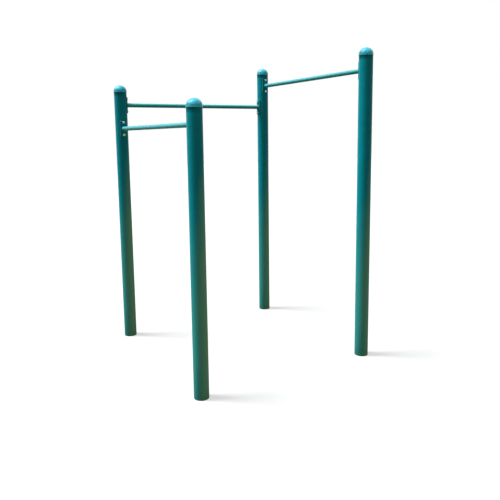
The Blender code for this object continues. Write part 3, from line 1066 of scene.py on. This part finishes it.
# %% [markdown]
# ## The bolts and washers
# A button-head bolt has a low dome with a hexagon socket. A dome with a hole cut by a
# Boolean would leave a ragged rim. Instead the rings of the dome run in until they meet
# the hexagon, then step down inside it, so the socket's rim stays clean.

# %% Button heads with a hexagon socket
bolt_low, bolt_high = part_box("bolt_middle_rear_left_upper")
post_x = centre_of("post_rear_left").x
HEAD_TOP = bolt_high.x - post_x
SHANK_END = bolt_low.x - post_x
HEAD_HEIGHT = 0.0066
HEAD_RADIUS = 0.0105
HEAD_EDGE = 0.0010             # height of the rim below the dome
SHANK_RADIUS = 0.006
SOCKET_HALF = 0.004            # half the distance across the flats
SOCKET_DEPTH = 0.004
TIP = 0.0012                   # bevel at the end of the shank
UNDER_SOFT = 0.0003            # bevel round the underside of the head
HEAD_STEPS = 14
DOME_END = 1.35                # in socket halves: where the dome's rings give way to hexagons
RIM_STEPS = ((1.08, 0.0006), (1.0, 0.0009))  # size of a hexagon, and how far down it is
FLOOR_SIZE, FLOOR_STEP, FLOOR_POINT = 0.75, 0.0002, 0.0010  # the drilled floor of the socket
RECESS_REACH = 1.16            # in socket halves: just past the corners of the hexagon
RECESS_DEPTH = 0.006           # deeper than the socket, and short of the shank
HEAD_SEAT = HEAD_TOP - HEAD_HEIGHT


def hexagon(scale, height):
    """A ring of points on a hexagon, with one at each of its corners."""
    ring = []
    for i in range(SMALL_ROUND):
        angle = 2 * math.pi * i / SMALL_ROUND
        reach = scale * SOCKET_HALF / math.cos((angle % (math.pi / 3)) - math.pi / 6)
        ring.append((reach * math.cos(angle), reach * math.sin(angle), height))
    return ring


def bolt_rings():
    """The shank, the underside, the dome and the socket of a bolt."""
    section = [
        (0, SHANK_END),
        (SHANK_RADIUS - TIP, SHANK_END),
        (SHANK_RADIUS, SHANK_END + TIP),
        (SHANK_RADIUS, HEAD_SEAT),
        (HEAD_RADIUS - UNDER_SOFT, HEAD_SEAT),
        (HEAD_RADIUS, HEAD_SEAT + UNDER_SOFT),
    ]
    dome_radii = (HEAD_RADIUS, HEAD_HEIGHT - HEAD_EDGE)
    dome = arc((0, HEAD_SEAT + HEAD_EDGE), dome_radii, 0, 90, HEAD_STEPS)
    section += [point for point in dome if point[0] > SOCKET_HALF * DOME_END]
    rings = [circle(radius, height, SMALL_ROUND) for radius, height in section]
    rings += [hexagon(size, HEAD_TOP - depth) for size, depth in RIM_STEPS]
    rings.append(hexagon(1.0, HEAD_TOP - SOCKET_DEPTH))
    rings.append(hexagon(FLOOR_SIZE, HEAD_TOP - SOCKET_DEPTH - FLOOR_STEP))
    return rings + [[(0, 0, HEAD_TOP - SOCKET_DEPTH - FLOOR_POINT)]]


def recess_share(point):
    """1 in the socket of a bolt, and 0 elsewhere."""
    inside = point.xy.length < SOCKET_HALF * RECESS_REACH
    return float(inside and point.z > HEAD_TOP - RECESS_DEPTH)


print("bolt head from", round(HEAD_SEAT, 5), "to", round(HEAD_TOP, 5))

# %% Set every bolt and washer
washer_low, washer_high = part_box("washer_middle_rear_left_upper")
WASHER_SEAT, WASHER_TOP = washer_low.x - post_x, washer_high.x - post_x
WASHER_RADIUS = 0.0120
WASHER_SOFT = 0.0004
SPIN_BY_NAME, SPIN_BY_SIDE = 17, 40  # degrees, so that the sockets stand at different turns
washer_section = [(HOLE_RADIUS, WASHER_TOP), (HOLE_RADIUS, WASHER_SEAT)]
washer_section += rounding(WASHER_RADIUS, WASHER_SEAT + WASHER_SOFT, WASHER_SOFT, -90, 0)
washer_section += rounding(WASHER_RADIUS, WASHER_TOP - WASHER_SOFT, WASHER_SOFT, 0, 90)
for (bar, post), place in joints.items():
    for level_name, side in (("upper", 1), ("lower", -1)):
        end = bar + "_" + post + "_" + level_name
        spin = math.radians(SPIN_BY_NAME * len(end) + SPIN_BY_SIDE * side)
        there = place @ Matrix.Translation((0, 0, side * bolt_rise)) @ TO_X
        there = there @ Matrix.Rotation(spin, 4, "Z")
        head = finished_mesh("bolt_" + end + "_button", skin(bolt_rings()))
        keep(head, "recess", recess_share)
        head.transform(there)
        show(head.name, head, steels["bolt_steel"], "bolt_steel", "bolt_" + end)
        disc = turned(washer_section, SMALL_ROUND, closed=True)
        disc = finished_mesh("washer_" + end + "_disc", disc, there)
        show(disc.name, disc, steels["washer_steel"], "washer_steel", "washer_" + end)
print("washer from", round(WASHER_SEAT, 5), "to", round(WASHER_TOP, 5))

# %% [markdown]
# ## The inserts
# The threaded inserts sit in the walls of the posts behind the plates, where nobody sees
# them. Their CAD solids have the right shape, so they stay and only get their finish.

# %% A finish for the CAD inserts
kept = [name for name in nodes if name.startswith("insert_")]
for name in kept:
    mesh = nodes[name].data
    mesh.materials.clear()
    mesh.materials.append(steels["insert_steel"])
print("inserts kept from the CAD model:", len(kept))
